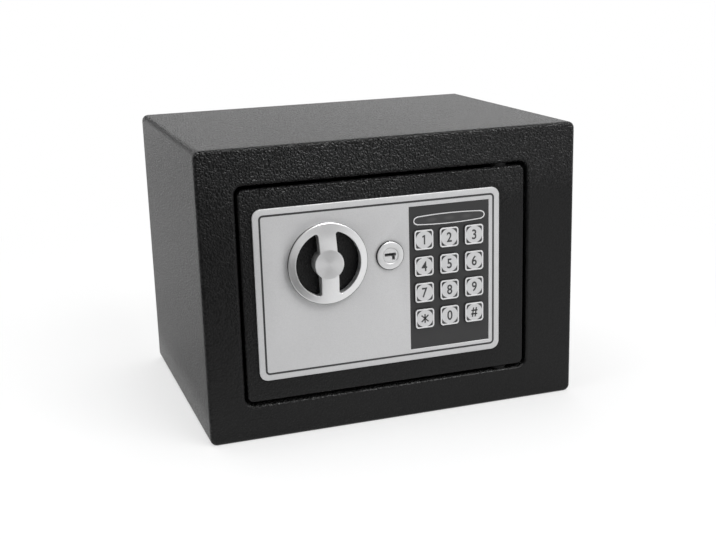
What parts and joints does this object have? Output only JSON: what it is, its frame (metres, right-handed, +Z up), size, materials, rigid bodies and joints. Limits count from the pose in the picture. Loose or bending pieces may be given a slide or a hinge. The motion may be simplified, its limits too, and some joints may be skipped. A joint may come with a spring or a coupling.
{
  "type": "safe deposit box",
  "caption": "Small steel safe deposit box with a hinged front door, turning knob, keypad and override key lock, and sliding bolts.",
  "frame": {"origin": "middle of the base, on the plane it stands on", "axes": "+X to the right seen from the front, across the door; +Y to the back; +Z up"},
  "size_m": [0.23, 0.1779, 0.17],
  "materials": {
    "black_coat": "black powder coat with a fine wrinkle",
    "inner_coat": "smooth black paint on the inner sheet metal",
    "mat_cloth": "ribbed dark floor mat",
    "bush_brass": "turned brass",
    "zinc_steel": "zinc plated steel",
    "fascia_print": "silver satin fascia with a black line round it",
    "panel_dark": "dark satin keypad panel",
    "lens_smoke": "smoked glossy lens",
    "lamp_clear": "clear lamp domes",
    "housing_black": "black moulded plastic",
    "key_rubber": "silicone rubber",
    "board_green": "solder-masked board",
    "coil_wire": "varnished winding",
    "lock_chrome": "polished chrome",
    "cell_label": "plain cell sleeve",
    "wire_red": "insulated wire",
    "knob_satin": "satin silver die casting",
    "key_silver": "silver printed keys",
    "button_red": "red plastic"
  },
  "bodies": {
    "safe_body": {"body_wrap": "black_coat", "front_frame": "black_coat", "back_panel": "black_coat", "floor_mat": "mat_cloth", "hinge_bushes": "housing_black"},
    "door": {"door_plate": "black_coat", "door_box": "inner_coat", "inner_cover": "inner_coat", "screws": "zinc_steel", "hinge_blocks": "inner_coat", "hinge_pins": "zinc_steel", "hinge_washers": "zinc_steel", "fascia": "fascia_print", "keypad_panel": "panel_dark", "lamp_lens": "lens_smoke", "lamps": "lamp_clear", "keypad_housing": "housing_black", "key_mat": "key_rubber", "circuit_board": "board_green", "buzzer": "housing_black", "spindle_bush": "bush_brass", "guide_studs": "zinc_steel", "solenoid_frame": "zinc_steel", "solenoid_coil": "coil_wire", "lock_barrel": "lock_chrome", "lock_nut": "zinc_steel", "battery_tray": "housing_black", "battery_contacts": "zinc_steel", "batteries": "cell_label", "wiring": "wire_red", "reset_switch": "housing_black"},
    "knob_unit": {"knob": "knob_satin", "knob_spindle": "zinc_steel", "crank_disc": "zinc_steel", "spindle_clip": "zinc_steel"},
    "bolt_unit": {"bolt_carriage": "zinc_steel", "bolts": "lock_chrome", "lock_arm": "zinc_steel", "stop_lugs": "zinc_steel"},
    "plug_unit": {"lock_plug": "lock_chrome", "lock_cam": "zinc_steel"},
    "plunger_unit": {"plunger": "zinc_steel", "release_link": "zinc_steel", "plunger_spring": "zinc_steel"},
    "battery_lid": {"battery_lid": "housing_black"},
    "reset_button": {"reset_button": "button_red"},
    "key_1": {"key_1": "key_silver"},
    "key_2": {"key_2": "key_silver"},
    "key_3": {"key_3": "key_silver"},
    "key_4": {"key_4": "key_silver"},
    "key_5": {"key_5": "key_silver"},
    "key_6": {"key_6": "key_silver"},
    "key_7": {"key_7": "key_silver"},
    "key_8": {"key_8": "key_silver"},
    "key_9": {"key_9": "key_silver"},
    "key_star": {"key_star": "key_silver"},
    "key_0": {"key_0": "key_silver"},
    "key_hash": {"key_hash": "key_silver"}
  },
  "joints": [
    {"name": "door_hinge", "type": "hinge", "parent": "safe_body", "child": "door", "pos_m": [0.0675, -0.0775, 0.085], "axis": [0, 0, 1], "range_deg": [0, 110]},
    {"name": "knob_turn", "type": "hinge", "parent": "door", "child": "knob_unit", "pos_m": [-0.043, -0.085, 0.1016], "axis": [0, 1, 0], "range_deg": [-90, 0]},
    {"name": "bolt_slide", "type": "slide", "parent": "door", "child": "bolt_unit", "axis": [-1, 0, 0], "range_m": [0, 0.01202]},
    {"name": "key_turn", "type": "hinge", "parent": "door", "child": "plug_unit", "pos_m": [-0.0047, -0.085, 0.1015], "axis": [0, 1, 0], "range_deg": [-90, 0]},
    {"name": "plunger_slide", "type": "slide", "parent": "door", "child": "plunger_unit", "axis": [0, 0, 1], "range_m": [0, 0.004], "deforming": ["plunger_spring"]},
    {"name": "battery_lid_slide", "type": "slide", "parent": "door", "child": "battery_lid", "axis": [1, 0, 0], "range_m": [0, 0.056]},
    {"name": "reset_press", "type": "slide", "parent": "door", "child": "reset_button", "axis": [0, -1, 0], "range_m": [0, 0.0015], "stiffness_N_per_m": 400},
    {"name": "press_1", "type": "slide", "parent": "door", "child": "key_1", "axis": [0, 1, 0], "range_m": [0, 0.0008], "stiffness_N_per_m": 400},
    {"name": "press_2", "type": "slide", "parent": "door", "child": "key_2", "axis": [0, 1, 0], "range_m": [0, 0.0008], "stiffness_N_per_m": 400},
    {"name": "press_3", "type": "slide", "parent": "door", "child": "key_3", "axis": [0, 1, 0], "range_m": [0, 0.0008], "stiffness_N_per_m": 400},
    {"name": "press_4", "type": "slide", "parent": "door", "child": "key_4", "axis": [0, 1, 0], "range_m": [0, 0.0008], "stiffness_N_per_m": 400},
    {"name": "press_5", "type": "slide", "parent": "door", "child": "key_5", "axis": [0, 1, 0], "range_m": [0, 0.0008], "stiffness_N_per_m": 400},
    {"name": "press_6", "type": "slide", "parent": "door", "child": "key_6", "axis": [0, 1, 0], "range_m": [0, 0.0008], "stiffness_N_per_m": 400},
    {"name": "press_7", "type": "slide", "parent": "door", "child": "key_7", "axis": [0, 1, 0], "range_m": [0, 0.0008], "stiffness_N_per_m": 400},
    {"name": "press_8", "type": "slide", "parent": "door", "child": "key_8", "axis": [0, 1, 0], "range_m": [0, 0.0008], "stiffness_N_per_m": 400},
    {"name": "press_9", "type": "slide", "parent": "door", "child": "key_9", "axis": [0, 1, 0], "range_m": [0, 0.0008], "stiffness_N_per_m": 400},
    {"name": "press_star", "type": "slide", "parent": "door", "child": "key_star", "axis": [0, 1, 0], "range_m": [0, 0.0008], "stiffness_N_per_m": 400},
    {"name": "press_0", "type": "slide", "parent": "door", "child": "key_0", "axis": [0, 1, 0], "range_m": [0, 0.0008], "stiffness_N_per_m": 400},
    {"name": "press_hash", "type": "slide", "parent": "door", "child": "key_hash", "axis": [0, 1, 0], "range_m": [0, 0.0008], "stiffness_N_per_m": 400}
  ],
  "couplings": [
    {"joint": "knob_turn", "follows": "bolt_slide", "rad_per_m": -130.67},
    {"joint": "key_turn", "follows": "plunger_slide", "rad_per_m": -392.69}
  ]
}
